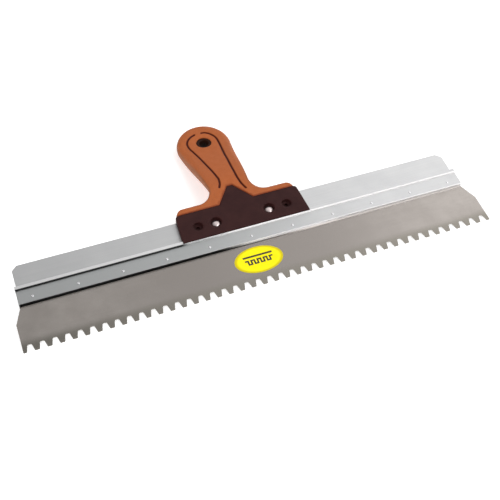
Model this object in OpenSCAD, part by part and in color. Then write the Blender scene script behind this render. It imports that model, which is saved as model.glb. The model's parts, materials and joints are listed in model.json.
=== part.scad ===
// Notched facade trowel: a toothed stainless blade pinned into an aluminium back profile,
// with a two-component handle riveted over the profile's upper wing.
// It lies on its back, on the tooth tips and the back of the grip's head, with +Z up.
// +X runs along the blade and +Y from the teeth to the handle.
// Inside the lie() module the shapes are drawn flat: Y is the distance from the tooth tips,
// Z is the height above the blade's middle plane.

/* [Blade] */
// Length of the toothed edge
blade_length = 450; // [350:10:600]
// Sheet thickness
blade_thickness = 0.7; // [0.5:0.1:1.2]
// Number of teeth
tooth_count = 42; // [20:1:50]
// Depth of a notch
notch_depth = 7.2; // [4:0.1:9]
// Width of a notch at the tooth tips
notch_mouth = 7.0; // [6:0.1:7.4]
// Width of a notch at its root
notch_root = 3.6; // [3:0.1:4.4]
// Corner radius at the root of a notch
notch_radius = 1.2; // [0.5:0.1:1.4]
// Height at which the blade's ends start to slant inwards
blade_shoulder = 29; // [20:1:40]

/* [Back profile] */
// Lower edge of the thick band that holds the blade
band_start = 46.7; // [44:0.1:50]
// Thickness of the band
band_thickness = 7.2; // [6:0.1:8]
// Lower edge of the rib that stands above the band
rib_start = 61.4; // [60:0.1:62]
// Width of the rib
rib_width = 4.2; // [3:0.1:4.6]
// Height of the rib above the band
rib_height = 1.7; // [1:0.1:1.9]
// Upper edge of the thin wing
wing_end = 90.3; // [86:0.1:92]
// Thickness of the wing
wing_thickness = 2.4; // [2:0.1:3]
// Cut across the wing's upper corners
wing_corner = 5; // [2:0.5:8]
// Number of pins through the band and the blade
pin_count = 11; // [5:2:13]
// Spacing of the pins, centre to centre
pin_spacing = 41.1; // [30:0.1:41.5]
// Diameter of a pin
pin_diameter = 2.6; // [2:0.1:3]

/* [Handle] */
// Width of the handle's base along the profile
base_width = 126.2; // [110:0.1:140]
// Thickness of the base
base_thickness = 13.6; // [12:0.1:14]
// Upper edge of the brown base
base_end = 94; // [93:0.5:98]
// Top of the soft shoulders over the base
shoulder_end = 101.5; // [100:0.5:103]
// Tip of the triangular peak between the shoulders
peak_end = 113.8; // [110:0.1:118]
// Half width of the peak at the base
peak_half = 17.1; // [14:0.1:18]
// Width of the grip at its neck
neck_width = 40.6; // [38:0.1:48]
// Radius of the grip's round head
head_radius = 28; // [26:0.5:32]
// Distance of the head's centre from the tooth tips
head_centre = 189.5; // [180:0.5:195]
// How far the head lies behind the blade's plane
head_setback = 18.5; // [12:0.5:22]
// Diameter of the hanging hole
hang_hole = 9.5; // [8:0.5:11]

/* [Fasteners] */
// Distance of the rivets from the middle
rivet_x = 26.6; // [20:0.1:30]
// Distance of the empty rivet pockets from the middle
pocket_x = 44.3; // [38:0.1:50]
// Height of the rivets and pockets above the tooth tips
rivet_y = 76.3; // [74:0.1:80]
// Diameter of a rivet's shank
rivet_diameter = 4; // [3:0.1:4.6]

/* [Label] */
// Width of the oval label
label_width = 46.6; // [30:0.1:50]
// Height of the oval label
label_height = 29; // [20:0.1:30]

/* [Hidden] */
$fn = 96;

// Blade
end_tooth = 1.1;                 // centre of an end tooth to the blade's end
pitch = (blade_length - 2 * end_tooth) / (tooth_count - 1);
slot_depth = 13;
blade_end = band_start + slot_depth;
profile_length = blade_length - 13;
blade_inset = 1;                 // the blade's slanted ends stop this far inside the profile

// Back profile
rib_radius = 0.8;
rib_end = rib_start + rib_width;
wing_length = profile_length - 3;
lip_chamfer = 0.6;
pin_y = band_start + 5.8;
pin_proud = 0.25;

// Handle
base_start = rib_start + 1;       // the base reaches over most of the rib
base_lip = 0.9;                  // depth and height of the slope on its lower edge
base_taper = 1.8;                // the base is this much narrower at its top, on each side
base_corner = 3;
peak_tip_half = 2.7;
shoulder_half = 59.5;
shoulder_radius = shoulder_end - base_end;
neck_y = 117;
fillet_radius = 15;
bend_start = 106;
bend_end = 196;
grip_half_base = 7.3;            // half the grip's thickness at its base, at its head, and the swell between
grip_half_head = 6.5;
grip_swell = 2;
bend_steps = 24;
grip_end = head_centre + head_radius;
spine_half_width = 10;
spine_half_thickness = 3.2;
eye_radius = 7.8;
eye_half = 6.1;
through = 60;                    // longer than any thickness that a cutter has to pass

// Rivets and pockets, symmetrical front and back
recess_radius = 5.4;
recess_floor = 3.2;
rivet_head_radius = 4.1;
rivet_head_height = 1.7;
pocket_radius = 4.7;
pocket_floor = 3.6;

label_thickness = 0.15;
label_x = -2;
label_y = 27.3;

// Share of the bend passed at y, 0 to 1
function bend_share(y) = min(1, max(0, (y - bend_start) / (bend_end - bend_start)));
// Middle of the grip's thickness at y
function grip_middle(y) = -head_setback * pow(bend_share(y), 2) * (3 - 2 * bend_share(y));
// Slope of the grip at y, in degrees
function grip_slope(y) =
    atan(6 * bend_share(y) * (1 - bend_share(y)) * head_setback / (bend_end - bend_start));
// Half the grip's thickness at y
function grip_half(y) = grip_half_base + (grip_half_head - grip_half_base) * bend_share(y)
    + grip_swell * sin(180 * bend_share(y));
// The y of each step along the bend
bend_ys = [for (i = [0 : bend_steps]) bend_start + (bend_end - bend_start) * i / bend_steps];

// The angle at which the tooth tips and the back of the grip touch the same surface
half_sheet = blade_thickness / 2;
lie_angle = max([for (y = bend_ys) atan2(grip_half(y) - grip_middle(y) - half_sheet, y)]);
lie_height = half_sheet * cos(lie_angle);
grip_back = head_setback + grip_half_head;
lie_length = grip_end * cos(lie_angle) + grip_back * sin(lie_angle);
lie_middle = (lie_length - half_sheet * sin(lie_angle)) / 2;

// Lays the flat drawing down on the surface, centred on the origin
module lie() {
    translate([0, -lie_middle, lie_height]) rotate([lie_angle, 0, 0]) children();
}

// A flat outline in X and Y, thickened between two heights
module slab(low, high) {
    translate([0, 0, low]) linear_extrude(high - low) children();
}

// An outline in Y and Z, drawn as x and y, extruded along X and centred
module bar_along_x(length) {
    rotate([90, 0, 90]) translate([0, 0, -length / 2]) linear_extrude(length) children();
}

// Points of an arc
function arc(centre, radius, from, to, steps) =
    [for (i = [0 : steps]) centre + radius * [cos(from + (to - from) * i / steps),
                                              sin(from + (to - from) * i / steps)]];

// ---- Blade ----

// A notch with slanted flanks and rounded root corners, open below y = 0
module notch_outline() {
    lean = atan((notch_mouth - notch_root) / 2 / notch_depth);
    root_y = notch_depth - notch_radius;
    root_x = notch_mouth / 2 - root_y * tan(lean) - notch_radius / cos(lean);
    below = 1;
    mouth_x = notch_mouth / 2 + below * tan(lean);
    polygon(concat(
        [[-mouth_x, -below], [mouth_x, -below]],
        arc([root_x, root_y], notch_radius, lean, 90, 4),
        arc([-root_x, root_y], notch_radius, 90, 180 - lean, 4)));
}

module blade_outline() {
    half = blade_length / 2;
    held = profile_length / 2 - blade_inset;
    difference() {
        polygon([[-half, 0], [half, 0], [half, blade_shoulder], [held, band_start], [held, blade_end],
                 [-held, blade_end], [-held, band_start], [-half, blade_shoulder]]);
        for (i = [1 : tooth_count - 1]) {
            translate([(i - tooth_count / 2) * pitch, 0]) notch_outline();
        }
    }
}

module blade() {
    color([0.64, 0.61, 0.58]) lie() difference() {
        slab(-half_sheet, half_sheet) blade_outline();
        pin_places() cylinder(d = pin_diameter, h = through, center = true);
    }
}

// ---- Back profile and its pins ----

// Cross-section with no slot: the chamfered band, a rib on both faces, and the thin wing
module profile_body_section() {
    band = band_thickness / 2;
    rib = band + rib_height - rib_radius;
    front = concat(
        [[band_start, band - lip_chamfer], [band_start + lip_chamfer, band], [rib_start, band]],
        arc([rib_start + rib_radius, rib], rib_radius, 180, 90, 4),
        arc([rib_end - rib_radius, rib], rib_radius, 90, 0, 4),
        [[rib_end, wing_thickness / 2], [wing_end, wing_thickness / 2]]);
    back = [for (i = [len(front) - 1 : -1 : 0]) [front[i][0], -front[i][1]]];
    polygon(concat(front, back));
}

module profile_section() {
    difference() {
        profile_body_section();
        translate([band_start - 1, -half_sheet]) square([slot_depth + 1, blade_thickness]);
    }
}

// The wing is cut a little shorter than the band, and across its upper corners
module profile_ends() {
    half = profile_length / 2;
    short = wing_length / 2;
    for (side = [-1, 1]) {
        scale([side, 1, 1]) slab(-through, through)
            polygon([[half + 1, rib_end], [short, rib_end], [short, wing_end - wing_corner],
                     [short - wing_corner, wing_end], [short - wing_corner, wing_end + 1],
                     [half + 1, wing_end + 1]]);
    }
}

module back_profile() {
    color([0.78, 0.78, 0.8]) lie() difference() {
        bar_along_x(profile_length) profile_section();
        profile_ends();
        pin_places() cylinder(d = pin_diameter, h = through, center = true);
        rivet_places() cylinder(d = rivet_diameter, h = through, center = true);
    }
}

module pin_places() {
    for (i = [0 : pin_count - 1]) {
        translate([(i - (pin_count - 1) / 2) * pin_spacing, pin_y, 0]) children();
    }
}

// A pin pressed through both lips and the blade, with a low dome at each end
module blade_pins() {
    band = band_thickness / 2;
    radius = pin_diameter / 2;
    dome_radius = (pow(radius, 2) + pow(pin_proud, 2)) / (2 * pin_proud);
    color([0.85, 0.85, 0.87]) lie() pin_places() {
        intersection() {
            cylinder(r = radius, h = 2 * (band + pin_proud), center = true);
            translate([0, 0, band + pin_proud - dome_radius]) sphere(r = dome_radius);
            translate([0, 0, dome_radius - band - pin_proud]) sphere(r = dome_radius);
        }
    }
}

// ---- Handle ----

// The rounded, slightly tapered base with its triangular peak
module core_face_outline() {
    half = base_width / 2;
    top_half = half - base_taper;
    corner_x = top_half - base_corner;
    corner_y = base_end - base_corner;
    polygon([[-half, base_start], [half, base_start], [top_half, corner_y], [-top_half, corner_y]]);
    translate([-corner_x, corner_y - 1]) square([2 * corner_x, base_corner + 1]);
    for (side = [-1, 1]) {
        translate([side * corner_x, corner_y]) circle(r = base_corner);
    }
    polygon([[-peak_half, base_end - 1], [-peak_half, base_end], [-peak_tip_half, peak_end],
             [peak_tip_half, peak_end], [peak_half, base_end], [peak_half, base_end - 1]]);
}

// Side view of a layer that follows the bend, its thickness given by half_at
module bend_section(start, end, half_at) {
    ys = concat([start], bend_ys, [end]);
    polygon(concat(
        [for (y = ys) [y, grip_middle(y) + half_at(y)]],
        [for (i = [len(ys) - 1 : -1 : 0]) [ys[i], grip_middle(ys[i]) - half_at(ys[i])]]));
}

// The eye's frame: the hanging hole's axis stands square to the head
module at_eye() {
    translate([0, head_centre, grip_middle(head_centre)])
        rotate([-grip_slope(head_centre), 0, 0]) children();
}

module eye_solid(half) {
    at_eye() cylinder(r = eye_radius, h = 2 * half, center = true);
}

// The bar of hard plastic that runs up inside the soft grip to the eye
module spine() {
    intersection() {
        slab(-through, through) translate([-spine_half_width, base_end - 5])
            square([2 * spine_half_width, head_centre - base_end + 5]);
        bar_along_x(2 * through)
            bend_section(base_end - 5, grip_end, function(y) spine_half_thickness);
    }
}

// Side view of the base, thinned by a slope along its lower edge
module base_section() {
    half = base_thickness / 2;
    polygon([[base_start, half - base_lip], [base_start + base_lip, half], [peak_end + 1, half],
             [peak_end + 1, -half], [base_start + base_lip, -half], [base_start, base_lip - half]]);
}

module core_solid() {
    intersection() {
        slab(-through, through) core_face_outline();
        bar_along_x(2 * base_width) base_section();
    }
    spine();
    eye_solid(eye_half);
}

module rivet_places() {
    for (side = [-1, 1]) {
        translate([side * rivet_x, rivet_y, 0]) children();
    }
}

module pocket_places() {
    for (side = [-1, 1]) {
        translate([side * pocket_x, rivet_y, 0]) children();
    }
}

// A round recess in the front and the back face, down to the given height
module recesses(radius, floor) {
    for (side = [0, 180]) {
        rotate([0, side, 0]) translate([0, 0, floor]) cylinder(r = radius, h = through);
    }
}

module handle_core() {
    color([0.24, 0.16, 0.15]) lie() difference() {
        core_solid();
        bar_along_x(2 * base_width) profile_body_section();
        rivet_places() {
            recesses(recess_radius, recess_floor);
            cylinder(d = rivet_diameter, h = through, center = true);
        }
        pocket_places() {
            recesses(pocket_radius, pocket_floor);
            cylinder(d = rivet_diameter, h = through, center = true);
        }
        at_eye() cylinder(d = hang_hole, h = through, center = true);
    }
}

// The grip seen from the front: shoulders, filleted neck and round head
module grip_block() {
    neck = [neck_width / 2, neck_y];
    from_head = neck - [0, head_centre];
    touch_angle = atan2(from_head[1], from_head[0]) + acos(head_radius / norm(from_head));
    touch = [head_radius * cos(touch_angle), head_centre + head_radius * sin(touch_angle)];
    lean = atan((touch[0] - neck[0]) / (touch[1] - neck[1]));
    fillet_y = shoulder_end + fillet_radius;
    fillet_x = neck[0] + (fillet_y - neck[1]) * tan(lean) + fillet_radius / cos(lean);
    fillet_touch = [fillet_x - fillet_radius * cos(lean), fillet_y + fillet_radius * sin(lean)];
    foot_x = neck[0] + (base_end - neck[1]) * tan(lean);
    round_x = shoulder_half - shoulder_radius;

    slab(-through, through) translate([0, head_centre]) circle(r = head_radius);
    slab(-through, through)
        polygon([[-foot_x, base_end], [foot_x, base_end], touch, [-touch[0], touch[1]]]);
    slab(-through, through) translate([-round_x, base_end]) square([2 * round_x, shoulder_end - base_end]);
    for (side = [-1, 1]) {
        translate([side * round_x, base_end, 0])
            cylinder(r = shoulder_radius, h = 2 * through, center = true);
        scale([side, 1, 1]) difference() {
            slab(-through, through)
                polygon([[0, shoulder_end - 1], [fillet_x, shoulder_end - 1], [fillet_x, fillet_y],
                         fillet_touch, [0, fillet_touch[1]]]);
            translate([fillet_x, fillet_y, 0]) cylinder(r = fillet_radius, h = 3 * through, center = true);
        }
    }
}

module soft_grip() {
    color([0.69, 0.42, 0.26]) lie() difference() {
        intersection() {
            grip_block();
            bar_along_x(4 * through) bend_section(base_end, grip_end, function(y) grip_half(y));
        }
        slab(-through, through) core_face_outline();
        spine();
        eye_solid(through);
    }
}

// A solid rivet with a domed head in the front and the back recess
module handle_rivets() {
    shank = rivet_diameter / 2;
    dome_radius = (pow(rivet_head_radius, 2) + pow(rivet_head_height, 2)) / (2 * rivet_head_height);
    color([0.8, 0.76, 0.75]) lie() rivet_places() {
        cylinder(r = shank, h = 2 * recess_floor + 0.2, center = true);
        for (side = [0, 180]) {
            rotate([0, side, 0]) intersection() {
                translate([0, 0, recess_floor]) cylinder(r = rivet_head_radius, h = rivet_head_height);
                translate([0, 0, recess_floor + rivet_head_height - dome_radius]) sphere(r = dome_radius);
            }
        }
    }
}

// ---- Label ----

module blade_label() {
    color([1, 0.93, 0.05]) lie() translate([label_x, label_y, 0])
        slab(half_sheet, half_sheet + label_thickness)
            polygon([for (a = [0 : 5 : 355]) [label_width / 2 * cos(a), label_height / 2 * sin(a)]]);
}

blade();
back_profile();
blade_pins();
handle_core();
soft_grip();
handle_rivets();
blade_label();
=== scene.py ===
"""Notched facade trowel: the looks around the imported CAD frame."""

import json
import math

import bmesh
import bpy
import numpy as np
from mathutils import Matrix, Vector, geometry


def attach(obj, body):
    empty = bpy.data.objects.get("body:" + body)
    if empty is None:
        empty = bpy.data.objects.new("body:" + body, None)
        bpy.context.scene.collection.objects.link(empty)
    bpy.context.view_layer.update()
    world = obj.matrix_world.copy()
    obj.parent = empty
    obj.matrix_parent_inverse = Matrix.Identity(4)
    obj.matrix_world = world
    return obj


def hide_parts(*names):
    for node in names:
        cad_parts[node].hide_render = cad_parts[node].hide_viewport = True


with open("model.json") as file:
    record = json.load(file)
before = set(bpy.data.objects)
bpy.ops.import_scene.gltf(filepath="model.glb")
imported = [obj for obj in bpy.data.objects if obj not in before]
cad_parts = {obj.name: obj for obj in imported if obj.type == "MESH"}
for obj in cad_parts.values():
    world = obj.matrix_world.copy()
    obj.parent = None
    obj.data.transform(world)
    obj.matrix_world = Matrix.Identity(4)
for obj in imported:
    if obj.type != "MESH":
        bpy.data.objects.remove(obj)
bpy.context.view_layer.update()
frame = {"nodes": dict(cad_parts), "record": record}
scene = bpy.context.scene
nodes = frame["nodes"]
MM = 0.001

# ---- The flat frame, in mm: x along the blade, y up from the tooth tips, z out of the front ----

mounts = {mount["name"]: mount for mount in frame["record"]["mounts"]}
tooth_edge = mounts["tooth_edge"]
ACROSS = Vector((1, 0, 0))
UPWARD = -Vector(tooth_edge["axis"]).normalized()
OUTWARD = ACROSS.cross(UPWARD)
TO_WORLD = (Matrix.Translation(Vector(tooth_edge["pos_m"]))
            @ Matrix((ACROSS, UPWARD, OUTWARD)).transposed().to_4x4() @ Matrix.Scale(MM, 4))
TO_FLAT = TO_WORLD.inverted()

# How the grip bends back towards its head, and its half thickness
BEND_START, BEND_END, SETBACK = 106, 196, 18.5
HALF_BASE, HALF_HEAD, SWELL = 7.3, 6.5, 2.0
# The hard base with its peak
BASE_HALF, BASE_TAPER, BASE_CORNER = 63.1, 1.8, 3.0
BASE_LOW, BASE_TOP, BASE_FACE = 62.4, 94.0, 6.8
PEAK_TOP, PEAK_HALF, PEAK_TIP = 113.8, 17.1, 2.7
# The soft grip's outline
SHOULDER_TOP, SHOULDER_HALF, SHOULDER_R = 101.5, 59.5, 7.5
NECK_HALF, NECK_Y, FILLET_R = 20.3, 117.0, 15.0
HEAD_R, HEAD_Y = 28.0, 189.5
EYE_R, EYE_HALF, HOLE_R = 7.8, 6.1, 4.75
EYE_FROM, EYE_TO = 172, 176
# Fasteners and their recesses
RIVET_X, POCKET_X, RIVET_Y = 26.6, 44.3, 76.3
RIVET_R = 2.0
RECESS_R, RECESS_Z, POCKET_R, POCKET_Z = 5.4, 3.2, 4.7, 3.6
PIN_Y, PIN_STEP, PIN_COUNT, BAND_FACE = 52.5, 41.1, 11, 3.6
# The back profile's edges
BAND_LOW, RIB_LOW, RIB_HIGH, WING_HIGH, WING_FACE = 46.7, 61.4, 65.6, 90.3, 1.2
# The oval label and the blade's half thickness
LABEL_X, LABEL_Y, LABEL_A, LABEL_B, SHEET = -2.0, 27.3, 23.3, 14.5, 0.35


def share(y):
    """How far along the bend a height is, from 0 to 1."""
    return np.clip((np.asarray(y, float) - BEND_START) / (BEND_END - BEND_START), 0, 1)


def middle(y):
    """The grip's middle surface, in front of the blade's middle plane."""
    s = share(y)
    return -SETBACK * s * s * (3 - 2 * s)


def half_thickness(y):
    s = share(y)
    return HALF_BASE + (HALF_HEAD - HALF_BASE) * s + SWELL * np.sin(np.pi * s)


def eye_lean():
    """The slope of the middle surface at the hanging hole."""
    s = float(share(HEAD_Y))
    return 6 * s * (1 - s) * SETBACK / (BEND_END - BEND_START)


def smooth(edge0, edge1, value):
    t = np.clip((np.asarray(value, float) - edge0) / (edge1 - edge0), 0, 1)
    return t * t * (3 - 2 * t)


# ---- Outlines ----

def arc(centre, radius, start, end, steps):
    angles = np.radians(np.linspace(start, end, steps + 1))
    return [(centre[0] + radius * math.cos(a), centre[1] + radius * math.sin(a)) for a in angles]


def resample(points, step, closed=True):
    """Points along a line at most one step apart; its corners stay."""
    ends = points + points[:1] if closed else points
    out = []
    for a, b in zip(ends, ends[1:]):
        length = math.dist(a, b)
        count = max(1, math.ceil(length / step - 1e-6))
        if length > 1e-6:
            dx, dy = b[0] - a[0], b[1] - a[1]
            out += [(a[0] + dx * i / count, a[1] + dy * i / count) for i in range(count)]
    return out if closed else out + [points[-1]]


def mirrored(points):
    return [(-x, y) for x, y in reversed(points)]


def grip_outer():
    """The grip's silhouette from its right shoulder over the head to the left one."""
    neck = (NECK_HALF, NECK_Y)
    reach = math.hypot(neck[0], neck[1] - HEAD_Y)
    touch_angle = math.atan2(neck[1] - HEAD_Y, neck[0]) + math.acos(HEAD_R / reach)
    touch = (HEAD_R * math.cos(touch_angle), HEAD_Y + HEAD_R * math.sin(touch_angle))
    lean = math.atan((touch[0] - neck[0]) / (touch[1] - neck[1]))
    fillet_y = SHOULDER_TOP + FILLET_R
    fillet_x = neck[0] + (fillet_y - neck[1]) * math.tan(lean) + FILLET_R / math.cos(lean)
    round_x = SHOULDER_HALF - SHOULDER_R
    right = arc((round_x, BASE_TOP), SHOULDER_R, 0, 90, 12)
    right += arc((fillet_x, fillet_y), FILLET_R, 270, 180 - math.degrees(lean), 16)
    right += arc((0, HEAD_Y), HEAD_R, math.degrees(touch_angle), 90, 40)
    return right + mirrored(right)[1:]


def peak():
    return [(-PEAK_HALF, BASE_TOP), (-PEAK_TIP, PEAK_TOP), (PEAK_TIP, PEAK_TOP), (PEAK_HALF, BASE_TOP)]


def base_outline():
    top_half = BASE_HALF - BASE_TAPER
    right = [(BASE_HALF, BASE_LOW)]
    right += arc((top_half - BASE_CORNER, BASE_TOP - BASE_CORNER), BASE_CORNER, 0, 90, 6)
    right += [(PEAK_HALF, BASE_TOP), (PEAK_TIP, PEAK_TOP)]
    return right + mirrored(right)


def circle(x, y, radius, count):
    return [(x + radius * math.cos(2 * math.pi * i / count), y + radius * math.sin(2 * math.pi * i / count))
            for i in range(count)]


GROOVES = [
    [(-5.6, 204), (-10.3, 202), (-14.3, 198.5), (-16.7, 193.5), (-16.7, 186), (-14.9, 178.6), (-12.4, 166),
     (-10.6, 153), (-8.7, 140), (-7.4, 130), (-7, 125), (-8.1, 118.7), (-10, 114.3)],
    [(1.9, 204.3), (6.1, 203.6), (10.7, 200), (13.8, 195), (14.7, 189), (14, 176.5), (12.9, 164),
     (12.1, 151), (11.3, 140), (11, 130), (10.9, 121), (11.8, 113), (14.1, 106)],
]


def curve_through(points, step):
    """A smooth line through the points, as a Catmull-Rom spline."""
    p = [np.array(q, float) for q in points]
    p = [2 * p[0] - p[1]] + p + [2 * p[-1] - p[-2]]
    out = []
    for a, b, c, d in zip(p, p[1:], p[2:], p[3:]):
        count = max(2, int(math.dist(b, c) / step))
        for i in range(count):
            t = i / count
            out.append(tuple(0.5 * (2 * b + (c - a) * t + (2 * a - 5 * b + 4 * c - d) * t ** 2
                                    + (3 * b - a - 3 * c + d) * t ** 3)))
    return out + [tuple(p[-2])]


def distance_to(lines, x, y):
    """Distance from each point to the nearest of the lines (a list of point lists)."""
    p = np.stack([x, y], 1)[:, None, :]
    best = np.full(len(x), 1e9)
    for line in lines:
        q = np.array(line, float)
        a, d = q[:-1], q[1:] - q[:-1]
        for start in range(0, len(x), 2000):
            rows = slice(start, start + 2000)
            t = np.clip(((p[rows] - a) * d).sum(2) / np.maximum((d * d).sum(1), 1e-12), 0, 1)
            gap = np.sqrt((((p[rows] - a) - t[..., None] * d) ** 2).sum(2)).min(1)
            best[rows] = np.minimum(best[rows], gap)
    return best


def inside(loop, x, y):
    """Which of the points lie inside a closed loop."""
    q = np.array(loop, float)
    x0, y0 = q[:, 0], q[:, 1]
    x1, y1 = np.roll(x0, -1), np.roll(y0, -1)
    out = np.zeros(len(x), bool)
    for a, b, c, d in zip(x0, y0, x1, y1):
        if b != d:
            crosses = (b > y) != (d > y)
            out ^= crosses & (x < (c - a) * (y - b) / (d - b) + a)
    return out


def beside(line, offset):
    """Points at an offset all round an open line."""
    q = np.array(line, float)
    t = np.gradient(q, axis=0)
    t /= np.linalg.norm(t, axis=1)[:, None]
    n = np.stack([-t[:, 1], t[:, 0]], 1)
    out = [tuple(v) for v in q + n * offset] + [tuple(v) for v in q - n * offset]
    for end, along in ((q[0], -t[0]), (q[-1], t[-1])):
        base = math.degrees(math.atan2(along[1], along[0]))
        out += arc(end, offset, base - 70, base + 70, 4)
    return out


def inset(loop, amount):
    """An anticlockwise loop's points moved inwards, each by its own amount."""
    q = np.array(loop, float)
    before, after = q - np.roll(q, 1, 0), np.roll(q, -1, 0) - q
    before /= np.linalg.norm(before, axis=1)[:, None]
    after /= np.linalg.norm(after, axis=1)[:, None]
    t = before + after
    t /= np.maximum(np.linalg.norm(t, axis=1)[:, None], 1e-9)
    n = np.stack([-t[:, 1], t[:, 0]], 1)
    stretch = 1 / np.maximum((t * after).sum(1), 0.4)
    return q + n * (amount * stretch)[:, None]


# ---- Mesh building ----

def thin_out(points, fixed, gap):
    """The points that keep at least a gap from the fixed ones and from each other."""
    cell = gap
    taken = {}
    for p in fixed:
        taken.setdefault((math.floor(p[0] / cell), math.floor(p[1] / cell)), []).append(p)
    out = []
    for p in points:
        i, j = math.floor(p[0] / cell), math.floor(p[1] / cell)
        near = (q for a in (i - 1, i, i + 1) for b in (j - 1, j, j + 1) for q in taken.get((a, b), ()))
        if all(math.dist(p, q) >= gap for q in near):
            taken.setdefault((i, j), []).append(p)
            out.append(p)
    return out


def triangulate(loops, extra):
    """Triangles inside the first loop and outside the others, through all the points."""
    points, edges = [], []
    for loop in loops:
        first = len(points)
        points += loop
        edges += [(first + i, first + (i + 1) % len(loop)) for i in range(len(loop))]
    points += extra
    found = geometry.delaunay_2d_cdt([Vector(p) for p in points], edges, [], 0, 1e-6)
    place = {}
    for new, olds in enumerate(found[3]):
        for old in olds:
            place[old] = new
    co = np.array([tuple(v) for v in found[0]])
    faces = np.array([f for f in found[2] if len(f) == 3])
    centre = co[faces].mean(1)
    keep = inside(loops[0], centre[:, 0], centre[:, 1])
    for loop in loops[1:]:
        keep &= ~inside(loop, centre[:, 0], centre[:, 1])
    rings, first = [], 0
    for loop in loops:
        rings.append([place[first + i] for i in range(len(loop))])
        first += len(loop)
    return co, faces[keep], rings


def new_object(name, mesh):
    """An object in the world's frame from a mesh in the flat one."""
    mesh.transform(TO_WORLD)
    ob = bpy.data.objects.new(name, mesh)
    scene.collection.objects.link(ob)
    return ob


def finish_mesh(bm, name, angle=32):
    """A mesh from the bmesh, smooth, with its edges sharp beyond an angle."""
    bmesh.ops.remove_doubles(bm, verts=bm.verts, dist=1e-4)
    bmesh.ops.recalc_face_normals(bm, faces=bm.faces)
    mesh = bpy.data.meshes.new(name)
    bm.to_mesh(mesh)
    bm.free()
    mesh.shade_smooth()
    mesh.set_sharp_from_angle(angle=math.radians(angle))
    return mesh


def sheet_into(bm, side, co, faces, heights):
    """Adds a triangle sheet that faces forwards (side 1) or backwards (side -1)."""
    verts = [bm.verts.new((x, y, z)) for (x, y), z in zip(co, heights)]
    for a, b, c in faces:
        bm.faces.new((verts[a], verts[b], verts[c]) if side > 0 else (verts[c], verts[b], verts[a]))
    return verts


def wall(bm, front, back, flip=False):
    """Joins two closed rings of as many points with a band of faces."""
    for i in range(len(front)):
        j = (i + 1) % len(front)
        corners = (front[i], back[i], back[j], front[j])
        bm.faces.new((corners[0], *corners[:0:-1]) if flip else corners)


def shell(bm, sides):
    """A closed body: a front and a back sheet over matching loops, joined by walls.
    sides is [(co, faces, rings, heights), the same for the back]."""
    made = []
    for side, (co, faces, rings, heights) in zip((1, -1), sides):
        verts = sheet_into(bm, side, co, faces, heights)
        made.append([[verts[i] for i in ring] for ring in rings])
    for front, back in zip(*made):
        wall(bm, front, back)


def lathe(bm, profile, centre, turn=Matrix.Identity(3), count=48):
    """A closed revolved body from (radius, height) points, about an axis through the centre."""
    rings = []
    for radius, height in profile:
        if radius < 1e-6:
            rings.append([bm.verts.new(Vector(centre) + turn @ Vector((0, 0, height)))])
        else:
            rings.append([bm.verts.new(Vector(centre) + turn @ Vector((x, y, height)))
                          for x, y in circle(0, 0, radius, count)])
    for low, high in zip(rings, rings[1:]):
        for i in range(count):
            j = (i + 1) % count
            corners = [low[i % len(low)], low[j % len(low)], high[j % len(high)], high[i % len(high)]]
            unique = list(dict.fromkeys(corners))
            if len(unique) > 2:
                bm.faces.new(unique)
    return rings


def cut(target, cutter, operation="DIFFERENCE"):
    """Applies a boolean to the target and removes the other body."""
    bpy.context.view_layer.update()
    modifier = target.modifiers.new("cut", "BOOLEAN")
    modifier.operation = operation
    modifier.solver = "EXACT"
    modifier.object = cutter
    evaluated = target.evaluated_get(bpy.context.evaluated_depsgraph_get())
    mesh = bpy.data.meshes.new_from_object(evaluated)
    target.modifiers.clear()
    old, target.data = target.data, mesh
    bpy.data.meshes.remove(old)
    bpy.data.objects.remove(cutter)
    return target


def set_attribute(mesh, name, values):
    attribute = mesh.attributes.new(name, "FLOAT", "POINT")
    attribute.data.foreach_set("value", np.asarray(values, np.float32))


def flat_coordinates(mesh):
    """The mesh's points in the flat frame."""
    co = np.empty(len(mesh.vertices) * 3)
    mesh.vertices.foreach_get("co", co)
    co = co.reshape(-1, 3)
    turn = np.array(TO_FLAT)
    return co @ turn[:3, :3].T + turn[:3, 3]


# ---- Soft grip ----

GROOVE_DEPTH, GROOVE_HALF = 1.1, 1.3
groove_lines = [curve_through(line, 0.7) for line in GROOVES]
outer_line = resample(grip_outer(), 1.1, closed=False)
peak_line = resample([outer_line[-1]] + peak() + [outer_line[0]], 1.1, closed=False)
grip_loop = outer_line + peak_line[1:-1]
RINGS = [0.039, 0.134, 0.28, 0.5, 0.741, 1.0]


def parting(y):
    """How far the widest line round the grip lies in front of its middle: most at the neck."""
    return np.minimum(7.2 * smooth(92, 116, y) * (1 - smooth(112, 190, y)), half_thickness(y) - 1.1)


def edge_width(y, side):
    """Width of the rounding, narrow on the face that the widest line is close to."""
    return (3.4 + 3.6 * smooth(99, 120, y)) * (1 - side * 0.065 * parting(y))


def edge_drop(y, side):
    """How far the surface falls from the face to the widest line."""
    return (half_thickness(y) - side * parting(y) - 0.15) * (0.72 + 0.28 * smooth(99, 116, y))


def round_over(distance, width):
    """The share of a rounding's fall at a distance from its edge."""
    d = np.clip(distance / width, 0, 1)
    return 1 - np.sqrt(np.maximum(0, 1 - (1 - d) ** 2))


def grip_height(x, y, side, eye_y):
    drop = edge_drop(y, side) * round_over(distance_to([outer_line], x, y), edge_width(y, side))
    drop += 0.45 * round_over(distance_to([peak_line], x, y), 0.5)
    drop += 0.5 * round_over(np.hypot(x, y - eye_y) - EYE_R, 0.6)
    g = distance_to(groove_lines, x, y) / GROOVE_HALF
    drop += GROOVE_DEPTH * (1 - smooth(0.25, 1.15, g))
    return middle(y) + side * (half_thickness(y) - 0.03 - drop)


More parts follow.
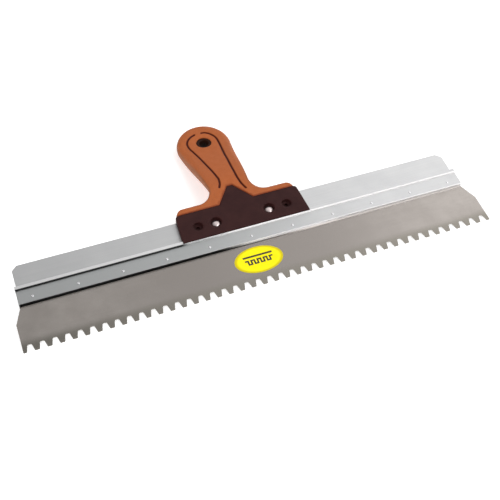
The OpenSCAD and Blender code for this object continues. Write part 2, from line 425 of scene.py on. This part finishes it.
def grip_sheet(side):
    """One face of the grip as a triangle sheet, finer along its edges and grooves."""
    eye_y = HEAD_Y + side * HALF_HEAD * eye_lean()
    eye_loop = circle(0, eye_y, EYE_R, 72)
    loop_y = np.array(grip_loop)[:, 1]
    rings = []
    for k in RINGS:
        rings += [tuple(v) for v in inset(outer_line, edge_width(outer_y, side) * k)]
    for k in (0.15, 0.5):
        rings += [tuple(v) for v in inset(grip_loop, np.full(len(loop_y), k))]
    for k in (0.2, 0.6):
        rings += circle(0, eye_y, EYE_R + k, 72)
    for line in groove_lines:
        rings += list(line)
        for k in (0.3, 0.65, 1.0, 1.35, 1.8):
            rings += beside(line, k)
    step = 1.7
    row = step * 0.866
    grid = [((i + 0.5 * (j % 2)) * step, 93 + j * row) for j in range(int(130 / row)) for i in range(-40, 41)]
    fixed = list(grip_loop) + eye_loop
    rings = thin_out(rings, fixed, 0.16)
    grid = thin_out(grid, fixed + rings, 0.9)
    extra = np.array(rings + grid)
    keep = inside(grip_loop, extra[:, 0], extra[:, 1]) & ~inside(eye_loop, extra[:, 0], extra[:, 1])
    co, faces, found = triangulate([list(grip_loop), eye_loop], [tuple(v) for v in extra[keep]])
    return co, faces, found, grip_height(co[:, 0], co[:, 1], side, eye_y)


outer_y = np.array(outer_line)[:, 1]

bm = bmesh.new()
shell(bm, [grip_sheet(1), grip_sheet(-1)])
grip = new_object("soft_grip_moulded", finish_mesh(bm, "soft_grip_moulded", 40))
flat = flat_coordinates(grip.data)
gx, gy = flat[:, 0], flat[:, 1]
groove_gap = distance_to(groove_lines, gx, gy)
set_attribute(grip.data, "groove", 1 - smooth(0.75, 1.35, groove_gap))
set_attribute(grip.data, "rim", 1 - smooth(0.4, 2.2, distance_to([outer_line], gx, gy)))
set_attribute(grip.data, "seam", 1 - smooth(0.3, 1.1, distance_to([peak_line], gx, gy)))
left_y, left_x = zip(*sorted((y, x) for x, y in groove_lines[0]))
right_y, right_x = zip(*sorted((y, x) for x, y in groove_lines[1]))
between = smooth(0, 1, gx - np.interp(gy, left_y, left_x))
between *= smooth(0, 1, np.interp(gy, right_y, right_x) - gx)
set_attribute(grip.data, "inlay", between * smooth(100, 112, gy) * (1 - smooth(202, 205, gy)))

# ---- Hard core: the base, with its recesses, and the eye ----

def recess_places():
    return [(sign * x, r, z) for sign in (-1, 1) for x, r, z in
            ((RIVET_X, RECESS_R, RECESS_Z), (POCKET_X, POCKET_R, POCKET_Z))]


base_loop = resample(base_outline(), 1.6)
base_line = base_loop + base_loop[:1]
seam_line = resample([(-60, BASE_TOP)] + peak() + [(60, BASE_TOP)], 1.6, closed=False)


def base_height(x, y, side):
    seam = 1 - smooth(0, 1.2, distance_to([seam_line], x, y))
    drop = round_over(distance_to([base_line], x, y), 1.1) * (1 - 0.55 * seam)
    for cx, r, _ in recess_places():
        drop += 0.4 * round_over(np.hypot(x - cx, y - RIVET_Y) - r - 0.05, 0.45)
    return side * (BASE_FACE - drop)


def base_sheet(side):
    """One face of the base as a triangle sheet with round openings for the recesses."""
    holes = [circle(cx, RIVET_Y, r + 0.05, 56) for cx, r, _ in recess_places()]
    rings = []
    for k in (0.05, 0.17, 0.34, 0.58, 0.85, 1.12):
        rings += [tuple(v) for v in inset(base_loop, np.full(len(base_loop), k))]
    for cx, r, _ in recess_places():
        for k in (0.12, 0.25, 0.5):
            rings += circle(cx, RIVET_Y, r + k, 56)
    grid = [((i + 0.5 * (j % 2)) * 2.6, 62 + j * 2.25) for j in range(24) for i in range(-26, 27)]
    fixed = list(base_loop) + [p for h in holes for p in h]
    rings = thin_out(rings, fixed, 0.05)
    grid = thin_out(grid, fixed + rings, 1.3)
    extra = np.array(rings + grid)
    keep = inside(base_loop, extra[:, 0], extra[:, 1])
    for h in holes:
        keep &= ~inside(h, extra[:, 0], extra[:, 1])
    co, faces, found = triangulate([list(base_loop)] + holes, [tuple(v) for v in extra[keep]])
    return co, faces, found, base_height(co[:, 0], co[:, 1], side)


def core_body():
    """The base: two faces over one outline, with a stepped pit in each recess."""
    bm = bmesh.new()
    loops = []
    for side in (1, -1):
        co, faces, rings, heights = base_sheet(side)
        verts = sheet_into(bm, side, co, faces, heights)
        loops.append([verts[i] for i in rings[0]])
        for ring, (cx, r, floor) in zip(rings[1:], recess_places()):
            mouth = above = [verts[i] for i in ring]
            for radius, z in ((r, BASE_FACE - 0.6), (r - 0.02, floor + 0.35), (r - 0.12, floor + 0.1),
                              (r - 0.38, floor), (2.6, floor)):
                scale = radius / (r + 0.05)
                below = [bm.verts.new((cx + (v.co.x - cx) * scale,
                                       RIVET_Y + (v.co.y - RIVET_Y) * scale, side * z)) for v in mouth]
                wall(bm, above, below, True)
                above = below
            bm.faces.new(above)
    wall(bm, *loops)
    return bm


def prism_along_x(name, section, half_length):
    """A closed bar: the section's (y, z) points run along x."""
    bm = bmesh.new()
    ends = [[bm.verts.new((x, y, z)) for y, z in section] for x in (-half_length, half_length)]
    wall(bm, *ends, True)
    bm.faces.new(ends[0])
    bm.faces.new(ends[1][::-1])
    return new_object(name, finish_mesh(bm, name))


def slot_section():
    """The space in the base for the profile's rib and wing, as (y, z) points."""
    front = [(60, 5.3), (RIB_HIGH, 5.3), (RIB_HIGH, WING_FACE), (WING_HIGH, WING_FACE)]
    return front + [(y, -z) for y, z in reversed(front)]


def spine_body():
    """The bar inside the grip, from the base up to the eye."""
    bm = bmesh.new()
    half_width, half_depth = 10, 3.2
    corners = ((-1, -1), (1, -1), (1, 1), (-1, 1))
    rows = [[bm.verts.new((sx * half_width, y, float(middle(y)) + sz * half_depth)) for sx, sz in corners]
            for y in np.linspace(90, 188, 50)]
    for a, b in zip(rows, rows[1:]):
        wall(bm, a, b, True)
    bm.faces.new(rows[0][::-1])
    bm.faces.new(rows[-1])
    return new_object("spine", finish_mesh(bm, "spine"))


core = new_object("handle_core_moulded", finish_mesh(core_body(), "handle_core_moulded", 40))
cut(core, prism_along_x("slot", slot_section(), 70))
# The rivets' holes go through, and the empty pockets' holes are blind from both faces
drills = [(x, -8, 8) for x in (-RIVET_X, RIVET_X)]
drills += [(x, *ends) for x in (-POCKET_X, POCKET_X) for ends in ((-8, -1.5), (1.5, 8))]
for x, low, high in drills:
    bm = bmesh.new()
    lathe(bm, [(0, low), (RIVET_R, low), (RIVET_R, high), (0, high)], (x, RIVET_Y, 0), count=40)
    cut(core, new_object("drill", finish_mesh(bm, "drill")))

eye_turn = Matrix.Rotation(-math.atan(eye_lean()), 3, "X")
eye_centre = (0, HEAD_Y, float(middle(HEAD_Y)))
bm = bmesh.new()
h = EYE_HALF
inner, outer = HOLE_R, EYE_R - 0.03
ring_profile = [(inner, 0), (inner, h - 1.1), (inner + 0.15, h - 0.6), (inner + 0.5, h - 0.2),
                (inner + 1.0, h), (outer - 0.5, h), (outer - 0.12, h - 0.15), (outer, h - 0.5), (outer, 0)]
ring_profile += [(r, -z) for r, z in reversed(ring_profile[1:-1])] + [(inner, 0)]
lathe(bm, ring_profile, eye_centre, eye_turn, 72)
eye = new_object("eye", finish_mesh(bm, "eye", 40))

cut(core, spine_body(), "UNION")
bm = bmesh.new()
lathe(bm, [(0, -12), (EYE_R - 0.5, -12), (EYE_R - 0.5, 12), (0, 12)], eye_centre, eye_turn, 72)
cut(core, new_object("eye_seat", finish_mesh(bm, "eye_seat")))
cut(core, eye, "UNION")
core.data.shade_smooth()
core.data.set_sharp_from_angle(angle=math.radians(35))
flat = flat_coordinates(core.data)
set_attribute(core.data, "eye", smooth(EYE_FROM, EYE_TO, flat[:, 1]))

# ---- Rivets and pins ----

def fasteners(name, places, profile, count):
    """One object with the same revolved body at each place."""
    bm = bmesh.new()
    for x, y in places:
        lathe(bm, profile, (x, y, 0), count=count)
    return new_object(name, finish_mesh(bm, name, 45))


def both_ends(head, face):
    """The profile of a body with the same head over its front and its back face."""
    return [(r, -face - z) for r, z in head] + [(r, face + z) for r, z in reversed(head)]


# Half profiles from the head's middle outwards: (radius, height over the face below the head)
RIVET_HEAD = [(0, 1.6), (0.8, 1.58), (1.6, 1.52), (2.3, 1.4), (2.9, 1.2), (3.4, 0.92),
              (3.8, 0.55), (4.02, 0.22), (4.05, 0.03), (RIVET_R, 0.01)]
PIN_END = [(0, 0.1), (0.25, 0.12), (0.5, 0.22), (0.85, 0.2), (1.15, 0.1), (1.28, -0.02)]
rivet_places = [(-RIVET_X, RIVET_Y), (RIVET_X, RIVET_Y)]
pin_places = [((i - PIN_COUNT // 2) * PIN_STEP, PIN_Y) for i in range(PIN_COUNT)]
rivets = fasteners("rivets_formed", rivet_places, both_ends(RIVET_HEAD, RECESS_Z), 48)
pins = fasteners("pins_pressed", pin_places, both_ends(PIN_END, BAND_FACE), 28)

# ---- Label ----

def label_body():
    """An oval film with a rolled-down edge."""
    bm = bmesh.new()
    count = 120
    rings = [[bm.verts.new((LABEL_X, LABEL_Y, SHEET + 0.15))]]
    for scale, z in ((0.3, 0.15), (0.6, 0.15), (0.85, 0.15), (0.93, 0.15), (0.985, 0.145), (0.998, 0.11),
                     (1.0, 0.0)):
        rings.append([bm.verts.new((LABEL_X + LABEL_A * x, LABEL_Y + LABEL_B * y, SHEET + z))
                      for x, y in circle(0, 0, scale, count)])
    for low, high in zip(rings, rings[1:]):
        for i in range(count):
            j = (i + 1) % count
            unique = list(dict.fromkeys([low[i % len(low)], high[i], high[j], low[j % len(low)]]))
            bm.faces.new(unique)
    bm.faces.new(rings[-1][::-1])
    return finish_mesh(bm, "label_vinyl", 50)


label = new_object("label_vinyl", label_body())
flat = flat_coordinates(label.data)
outward = np.hypot((flat[:, 0] - LABEL_X) / LABEL_A, (flat[:, 1] - LABEL_Y) / LABEL_B)
set_attribute(label.data, "border", smooth(0.9, 0.94, outward))


def stroke(bm, points, width, z0, z1):
    """A flat printed line with square corners."""
    q = np.array(points, float)
    n = len(q)
    sides = ([], [])
    for i in range(n):
        a = q[i] - q[i - 1] if i else q[1] - q[0]
        b = q[i + 1] - q[i] if i < n - 1 else q[-1] - q[-2]
        a, b = a / np.linalg.norm(a), b / np.linalg.norm(b)
        t = (a + b) / max(np.linalg.norm(a + b), 1e-9)
        m = np.array((-t[1], t[0])) * (width / 2 / max(float(t @ b), 0.4))
        for side, s in zip(sides, (1, -1)):
            side.append([bm.verts.new((*(q[i] + s * m), z)) for z in (z0, z1)])
    for i in range(n - 1):
        (l0, l1), (m0, m1), (r0, r1), (s0, s1) = sides[0][i], sides[0][i + 1], sides[1][i], sides[1][i + 1]
        for f in ((l1, r1, s1, m1), (l0, m0, s0, r0), (l0, l1, m1, m0), (r0, s0, s1, r1)):
            bm.faces.new(f)
    for k in (0, n - 1):
        (l0, l1), (r0, r1) = sides[0][k], sides[1][k]
        bm.faces.new((l0, r0, r1, l1))


def mark_body():
    """A plain printed pictogram: a bar over a notched edge."""
    bm = bmesh.new()
    z0, z1 = SHEET + 0.145, SHEET + 0.165
    comb = []
    for i in range(5):
        x = LABEL_X - 13.5 + 6 * i
        comb += [(x, LABEL_Y - 3.6), (x, LABEL_Y + 0.6), (x + 3, LABEL_Y + 0.6), (x + 3, LABEL_Y - 3.6)]
    comb = comb[1:-1]
    stroke(bm, comb, 1.6, z0, z1)
    stroke(bm, [(LABEL_X - 14.2, LABEL_Y + 4.6), (LABEL_X + 14.2, LABEL_Y + 4.6)], 2.0, z0, z1)
    return finish_mesh(bm, "label_mark", 30)


mark = new_object("label_mark", mark_body())

# ---- Materials ----

class Nodes:
    """Short calls for building a node tree."""

    def __init__(self, name):
        self.material = bpy.data.materials.new(name)
        self.material.use_nodes = True
        self.tree = self.material.node_tree
        self.shader = self.tree.nodes["Principled BSDF"]
        self.place = self.add("ShaderNodeTexCoord").outputs["Object"]

    def add(self, kind, **values):
        node = self.tree.nodes.new(kind)
        for key, value in values.items():
            setattr(node, key, value)
        return node

    def link(self, socket, value):
        if hasattr(value, "is_output"):
            self.tree.links.new(value, socket)
        else:
            socket.default_value = value

    def flat_place(self, stretch=(1, 1, 1)):
        """The place in the flat frame, in mm, stretched along its axes."""
        node = self.add("ShaderNodeMapping", vector_type="POINT")
        node.inputs["Rotation"].default_value = TO_FLAT.to_euler()
        node.inputs["Location"].default_value = TO_FLAT.translation
        node.inputs["Scale"].default_value = [1 / MM] * 3
        self.link(node.inputs["Vector"], self.place)
        second = self.add("ShaderNodeVectorMath", operation="MULTIPLY")
        second.inputs[1].default_value = stretch
        self.link(second.inputs[0], node.outputs["Vector"])
        return second.outputs[0]

    def noise(self, place, scale, detail=2.0, roughness=0.5):
        node = self.add("ShaderNodeTexNoise")
        self.link(node.inputs["Vector"], place)
        node.inputs["Scale"].default_value = scale
        node.inputs["Detail"].default_value = detail
        node.inputs["Roughness"].default_value = roughness
        return node.outputs["Fac"]

    def span(self, value, from_low, from_high, to_low=0.0, to_high=1.0, kind="LINEAR"):
        """The value's place in one range, clamped and moved to the other."""
        node = self.add("ShaderNodeMapRange", interpolation_type=kind)
        for name, v in (("Value", value), ("From Min", from_low), ("From Max", from_high),
                        ("To Min", to_low), ("To Max", to_high)):
            self.link(node.inputs[name], v)
        return node.outputs["Result"]

    def fade(self, value, low, high):
        """From 0 at low to 1 at high, with soft ends."""
        return self.span(value, low, high, kind="SMOOTHSTEP")

    def math(self, operation, a, b=0.0):
        node = self.add("ShaderNodeMath", operation=operation)
        self.link(node.inputs[0], a)
        self.link(node.inputs[1], b)
        return node.outputs[0]

    def mix(self, share, a, b):
        node = self.add("ShaderNodeMix", data_type="RGBA")
        self.link(node.inputs[0], share)
        self.link(node.inputs[6], a)
        self.link(node.inputs[7], b)
        return node.outputs[2]

    def attribute(self, name):
        return self.add("ShaderNodeAttribute", attribute_name=name).outputs["Fac"]

    def split(self, place):
        node = self.add("ShaderNodeSeparateXYZ")
        self.link(node.inputs[0], place)
        return node.outputs

    def bump(self, height, distance, strength):
        node = self.add("ShaderNodeBump")
        node.inputs["Distance"].default_value = distance
        node.inputs["Strength"].default_value = strength
        self.link(node.inputs["Height"], height)
        return node.outputs["Normal"]

    def out(self, **values):
        for key, value in values.items():
            self.link(self.shader.inputs[key.replace("_", " ")], value)
        return self.material


def rgb(red, green, blue):
    """A linear colour from 0 to 255 screen values."""
    def linear(v):
        v /= 255
        return v / 12.92 if v <= 0.04045 else ((v + 0.055) / 1.055) ** 2.4
    return (linear(red), linear(green), linear(blue), 1.0)


def stainless():
    """Rolled sheet with fine lines along it and dulled teeth. In the corner below the band it carries
    painted shade on the left and a painted highlight on the right."""
    n = Nodes("stainless_sheet")
    place = n.flat_place()
    rolled = n.noise(n.flat_place((0.02, 1.6, 1.6)), 1.0, 4, 0.65)
    fine = n.noise(n.flat_place((0.06, 7, 7)), 1.0, 3, 0.6)
    cloud = n.noise(place, 0.045, 3, 0.55)
    scratch = n.span(n.noise(n.flat_place((0.15, 2.4, 1)), 1.0, 6, 0.8), 0.66, 0.74)
    x, y = n.split(place)[0], n.split(place)[1]
    tooth = n.fade(y, 15, 5)
    tips = n.math("ADD", y, n.math("MULTIPLY", n.noise(place, 0.35, 3), 4.0))
    wear_and_highlight = n.fade(tips, 5.5, 2.0)
    centre = n.fade(n.math("ABSOLUTE", x), 190, 50)
    colour = n.mix(n.span(cloud, 0.35, 0.65), rgb(182, 175, 169), rgb(192, 185, 179))
    colour = n.mix(centre, colour, rgb(166, 159, 154))
    colour = n.mix(n.math("MULTIPLY", n.span(rolled, 0.35, 0.7), 0.12), colour, rgb(156, 149, 143))
    tooth_colour = n.mix(n.span(x, -60, -200), rgb(154, 149, 140), rgb(138, 134, 126))
    colour = n.mix(n.math("MULTIPLY", tooth, 0.9), colour, tooth_colour)
    # Painted shade: a near-black strip on the blade just under the band, fading out to the right.
    seam = n.math("MULTIPLY", n.span(y, BAND_LOW - 0.95, BAND_LOW - 0.75), n.fade(x, 40, -25))
    colour = n.mix(n.math("MULTIPLY", seam, 0.95), colour, rgb(16, 16, 18))
    # Painted highlight: a pale, nearly non-metallic strip on the blade just under the band, on the right.
    highlight_under_band = n.math("MULTIPLY", n.span(y, BAND_LOW - 1.5, BAND_LOW - 1.1), n.fade(x, 25, 60))
    colour = n.mix(highlight_under_band, colour, rgb(218, 211, 206))
    metal = n.math("SUBTRACT", 1.0, n.math("MULTIPLY", highlight_under_band, 0.9))
    rough = n.math("ADD", n.span(fine, 0.3, 0.7, 0.21, 0.27), n.math("MULTIPLY", scratch, 0.07))
    rough = n.math("ADD", rough, n.span(y, BAND_LOW - 2.4, BAND_LOW - 1.1, 0.0, 0.5))
    rough = n.math("ADD", rough, n.math("MULTIPLY", wear_and_highlight, 0.12))
    height = n.math("ADD", n.math("MULTIPLY", fine, 0.5), n.math("MULTIPLY", scratch, -0.7))
    return n.out(Base_Color=colour, Metallic=metal, Roughness=rough, Normal=n.bump(height, 0.00002, 0.3))


def aluminium():
    """Extruded metal with lines along it. The steep walls of the band and the rib carry painted shade
    on the left and a painted highlight in the middle."""
    n = Nodes("aluminium_extruded")
    place = n.flat_place()
    lines = n.noise(n.flat_place((0.008, 3.5, 3.5)), 1.0, 4, 0.7)
    fine = n.noise(n.flat_place((0.05, 12, 12)), 1.0, 2, 0.6)
    cloud = n.noise(place, 0.03, 3, 0.6)
    dull = n.span(n.noise(place, 0.12, 5, 0.7), 0.55, 0.7)
    colour = n.mix(n.span(cloud, 0.3, 0.7), rgb(226, 226, 227), rgb(236, 236, 236))
    colour = n.mix(n.math("MULTIPLY", n.span(lines, 0.4, 0.7), 0.4), colour, rgb(210, 210, 210))
    x, y = n.split(place)[0], n.split(place)[1]
    # Darker towards the left, most on the band below the rib.
    toward_left = n.fade(x, 140, -80)
    on_band = n.span(y, RIB_LOW + 0.2, RIB_LOW - 0.2, 0.25, 1.0)
    colour = n.mix(n.math("MULTIPLY", toward_left, on_band), colour, rgb(195, 197, 197))
    # Painted highlight: the rib's top turned near white, strongest on the left and fading out to the right.
    rib_top_highlight = n.math("MULTIPLY", n.span(y, RIB_LOW + 0.6, RIB_LOW + 1.0),
                     n.span(y, RIB_HIGH + 0.1, RIB_HIGH - 0.3))
    colour = n.mix(n.math("MULTIPLY", rib_top_highlight, n.fade(x, 110, -70)), colour, rgb(252, 252, 252))
    band_wall = n.span(y, BAND_LOW + 0.25, BAND_LOW + 0.1)
    rib_wall = n.math("MULTIPLY", n.span(y, RIB_LOW - 0.1, RIB_LOW), n.span(y, RIB_LOW + 0.8, RIB_LOW + 0.6))
    # Painted shade: the band's and the rib's steep front walls darkened to near black on the left.
    wall_shade = n.math("ADD", n.math("MULTIPLY", band_wall, n.fade(x, -5, -35)),
                   n.math("MULTIPLY", rib_wall, n.span(x, -58, -64)))
    # Painted highlight: the same walls turned pale and nearly non-metallic in the middle and to the right.
    centre = n.math("MULTIPLY", n.fade(x, -30, 5), n.fade(x, 110, 60))
    wear_and_highlight = n.math("ADD", n.math("MULTIPLY", band_wall, centre),
                  n.math("MULTIPLY", rib_wall, n.fade(x, -50, 5)))
    colour = n.mix(n.math("MULTIPLY", wall_shade, 0.93), colour, rgb(20, 20, 22))
    colour = n.mix(wear_and_highlight, colour, rgb(250, 248, 248))
    metal = n.math("SUBTRACT", 1.0, n.math("MULTIPLY", wear_and_highlight, 0.9))
    rough = n.math("ADD", n.span(lines, 0.3, 0.7, 0.34, 0.46), n.math("MULTIPLY", dull, 0.06))
    height = n.math("ADD", lines, n.math("MULTIPLY", fine, 0.5))
    return n.out(Base_Color=colour, Metallic=metal, Roughness=rough, Normal=n.bump(height, 0.00004, 0.5))


def plain_metal(name, low, high, rough_low, rough_high, shade=None):
    """A small formed part's metal, with its upper rim shaded over the given heights."""
    n = Nodes(name)
    place = n.flat_place()
    cloud = n.noise(place, 0.9, 3, 0.6)
    marks = n.noise(place, 3.0, 4, 0.7)
    colour = n.mix(n.span(cloud, 0.35, 0.65), low, high)
    if shade is not None:
        # Painted shade: the head's upper part darkened where the recess wall would shade it.
        colour = n.mix(n.span(n.split(place)[1], *shade, 0.0, 0.9), colour, rgb(44, 26, 25))
    rough = n.span(marks, 0.3, 0.7, rough_low, rough_high)
    return n.out(Base_Color=colour, Metallic=1.0, Roughness=rough, Normal=n.bump(marks, 0.00003, 0.5))


def hard_plastic():
    """Dark brown, finely textured; nearly black round the hanging hole."""
    n = Nodes("hard_plastic_brown")
    place = n.flat_place()
    grain = n.noise(place, 4.5, 3, 0.6)
    cloud = n.noise(place, 0.09, 3, 0.6)
    dust = n.span(n.noise(place, 1.3, 5, 0.75), 0.62, 0.8)
    colour = n.mix(n.span(cloud, 0.3, 0.7), rgb(47, 23, 23), rgb(55, 29, 28))
    colour = n.mix(n.math("MULTIPLY", dust, 0.2), colour, rgb(86, 62, 58))
    colour = n.mix(n.attribute("eye"), colour, rgb(40, 16, 6))
    rough = n.span(grain, 0.3, 0.7, 0.5, 0.64)
    return n.out(Base_Color=colour, Roughness=rough, Specular_IOR_Level=0.16,
                 Normal=n.bump(grain, 0.00006, 0.6))


def soft_plastic():
    """Orange-brown and mottled, calmer between the grooves, darker along edges and in grooves."""
    n = Nodes("soft_plastic_orange")
    place = n.flat_place()
    groove = n.attribute("groove")
    rim = n.attribute("rim")
    calm = n.span(n.attribute("inlay"), 0.0, 1.0, 1.0, 0.35)
    speck = n.noise(place, 0.85, 4, 0.7)
    blotch = n.noise(place, 0.16, 3, 0.6)
    grain = n.noise(place, 3.2, 3, 0.65)
    mottled = n.math("MULTIPLY", n.span(speck, 0.38, 0.66), calm)
    colour = n.mix(n.span(blotch, 0.3, 0.7), rgb(170, 89, 43), rgb(176, 95, 50))
    colour = n.mix(n.math("MULTIPLY", mottled, 0.6), colour, rgb(152, 86, 50))
    colour = n.mix(n.math("MULTIPLY", rim, 0.6), colour, rgb(122, 84, 60))
    colour = n.mix(n.math("MULTIPLY", n.attribute("seam"), 0.7), colour, rgb(104, 36, 14))
    colour = n.mix(groove, colour, rgb(70, 14, 2))
    rough = n.span(grain, 0.3, 0.7, 0.58, 0.74)
    coarse = n.math("MULTIPLY", n.math("MULTIPLY", speck, calm), 0.7)
    height = n.math("ADD", coarse, n.math("MULTIPLY", grain, 0.4))
    return n.out(Base_Color=colour, Roughness=rough, Specular_IOR_Level=0.3,
                 Normal=n.bump(height, 0.00018, 0.6))


def vinyl():
    n = Nodes("label_yellow")
    place = n.flat_place()
    cloud = n.noise(place, 0.12, 3, 0.5)
    colour = n.mix(n.span(cloud, 0.3, 0.7), rgb(255, 240, 2), rgb(252, 234, 0))
    colour = n.mix(n.math("MULTIPLY", n.attribute("border"), 0.85), colour, rgb(196, 178, 12))
    rough = n.span(n.noise(place, 0.8, 3), 0.3, 0.7, 0.34, 0.42)
    return n.out(Base_Color=colour, Roughness=rough, Specular_IOR_Level=0.25,
                 Normal=n.bump(cloud, 0.0001, 0.3))


def ink():
    n = Nodes("label_ink")
    place = n.flat_place()
    colour = n.mix(n.span(n.noise(place, 1.6, 4, 0.6), 0.3, 0.7), rgb(44, 42, 34), rgb(58, 55, 44))
    return n.out(Base_Color=colour, Roughness=n.span(n.noise(place, 2.5, 2), 0.3, 0.7, 0.4, 0.5))


def floor_material():
    n = Nodes("floor_white")
    colour = n.mix(n.noise(n.place, 2.0, 2), (0.93, 0.93, 0.93, 1), (0.95, 0.95, 0.95, 1))
    return n.out(Base_Color=colour, Roughness=0.9, Specular_IOR_Level=0.1,
                 Emission_Color=(1, 1, 1, 1), Emission_Strength=0.4)


def coat(ob, material):
    """Gives the whole object one material."""
    ob.data.materials.clear()
    ob.data.materials.append(material)
    for polygon in ob.data.polygons:
        polygon.material_index = 0


blade, profile = nodes["blade"], nodes["back_profile"]
coat(blade, stainless())
coat(profile, aluminium())
coat(pins, plain_metal("pin_bright", rgb(235, 235, 236), rgb(246, 246, 247), 0.16, 0.26))
coat(rivets, plain_metal("rivet_steel", rgb(240, 224, 222), rgb(250, 236, 234), 0.38, 0.48,
                         (RIVET_Y + 1.2, RIVET_Y + 2.2)))
coat(core, hard_plastic())
coat(grip, soft_plastic())
coat(label, vinyl())
coat(mark, ink())

# The CAD's metal meshes get their edges slightly broken
for ob, width in ((blade, 0.06), (profile, 0.12)):
    weld = ob.modifiers.new("weld", "WELD")
    weld.merge_threshold = 1e-6
    flatten = ob.modifiers.new("flatten", "DECIMATE")
    flatten.decimate_type = "DISSOLVE"
    flatten.angle_limit = math.radians(1)
    bevel = ob.modifiers.new("bevel", "BEVEL")
    bevel.width = width * MM
    bevel.segments = 2
    bevel.limit_method = "ANGLE"
    bevel.angle_limit = math.radians(40)

# ---- Each piece joins the root body, and the CAD part it replaces is hidden ----

for ob, node, slot in ((grip, "soft_grip", "soft_plastic"), (core, "handle_core", "hard_plastic"),
                       (rivets, "handle_rivets", "rivet_metal"), (pins, "blade_pins", "pin_metal"),
                       (label, "blade_label", "label")):
    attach(ob, "root")
    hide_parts(node)
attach(mark, "root")

# ---- Floor, light and camera ----

bpy.ops.mesh.primitive_plane_add(size=8, location=(0, 0, 0))
floor = bpy.context.object
floor.name = "floor"
coat(floor, floor_material())


def soft_light(name, direction, distance, size, power):
    """A rectangular light that shines at the object's middle and doesn't show in reflections."""
    data = bpy.data.lights.new(name, "AREA")
    data.shape = "RECTANGLE"
    data.size, data.size_y = size
    data.energy = power
    ob = bpy.data.objects.new(name, data)
    scene.collection.objects.link(ob)
    ob.location = Vector(direction).normalized() * distance
    ob.rotation_euler = (-ob.location).to_track_quat("-Z", "Y").to_euler()
    ob.visible_glossy = False


soft_light("top_left", (-1.0, -0.3, 0.6), 2.2, (1.2, 1.2), 30)
soft_light("front_right", (0.85, -0.95, 1.0), 2.4, (1.3, 1.5), 11)


def studio_world():
    """Pale walls: the back one brighter to the right, the front one dark to the left, with a bright
    window to the right at half height."""
    world = bpy.data.worlds.new("studio")
    scene.world = world
    world.use_nodes = True
    tree = world.node_tree
    background = tree.nodes["Background"]
    direction = tree.nodes.new("ShaderNodeTexCoord").outputs["Generated"]
    split = tree.nodes.new("ShaderNodeSeparateXYZ")
    tree.links.new(direction, split.inputs[0])

    def span(value, a, b, c, d):
        node = tree.nodes.new("ShaderNodeMapRange")
        node.interpolation_type = "SMOOTHSTEP"
        tree.links.new(value, node.inputs["Value"])
        for name, v in (("From Min", a), ("From Max", b), ("To Min", c), ("To Max", d)):
            node.inputs[name].default_value = v
        return node.outputs["Result"]

    def join(operation, a, b):
        node = tree.nodes.new("ShaderNodeMath")
        node.operation = operation
        for socket, v in zip(node.inputs, (a, b)):
            if hasattr(v, "is_output"):
                tree.links.new(v, socket)
            else:
                socket.default_value = v
        return node.outputs[0]

    x, y, z = split.outputs
    back_wall = span(x, -0.25, 0.6, 0.36, 1.12)
    front_wall = span(x, 0.14, 0.3, 0.015, 1.3)
    is_front = span(y, -0.1, -0.4, 0.0, 1.0)
    window_sides = join("MULTIPLY", span(z, 0.77, 0.71, 0.0, 1.0), span(x, 0.14, 0.3, 0.0, 1.0))
    window = join("MULTIPLY", span(z, 0.58, 0.65, 0.0, 5.0), window_sides)
    front = join("MULTIPLY", join("ADD", front_wall, window), is_front)
    light = join("ADD", join("MULTIPLY", back_wall, join("SUBTRACT", 1.0, is_front)), front)
    tree.links.new(light, background.inputs["Strength"])
    background.inputs["Color"].default_value = (1, 1, 1, 1)


studio_world()
scene.view_settings.view_transform = "Standard"
scene.view_settings.look = "None"

camera_data = bpy.data.cameras.new("camera")
camera_data.lens = 65.9
camera_data.sensor_width = 36
camera_data.clip_start, camera_data.clip_end = 0.01, 50
camera = bpy.data.objects.new("camera", camera_data)
scene.collection.objects.link(camera)
right = Vector((0.93584, -0.35238, -0.00520)).normalized()
back = Vector((-0.23802, -0.64288, 0.72805)).normalized()
camera.matrix_world = (Matrix.Translation(TO_WORLD @ Vector((-207.3, -416.383, 682.855)))
                       @ Matrix((right, back.cross(right), back)).transposed().to_4x4())
scene.camera = camera
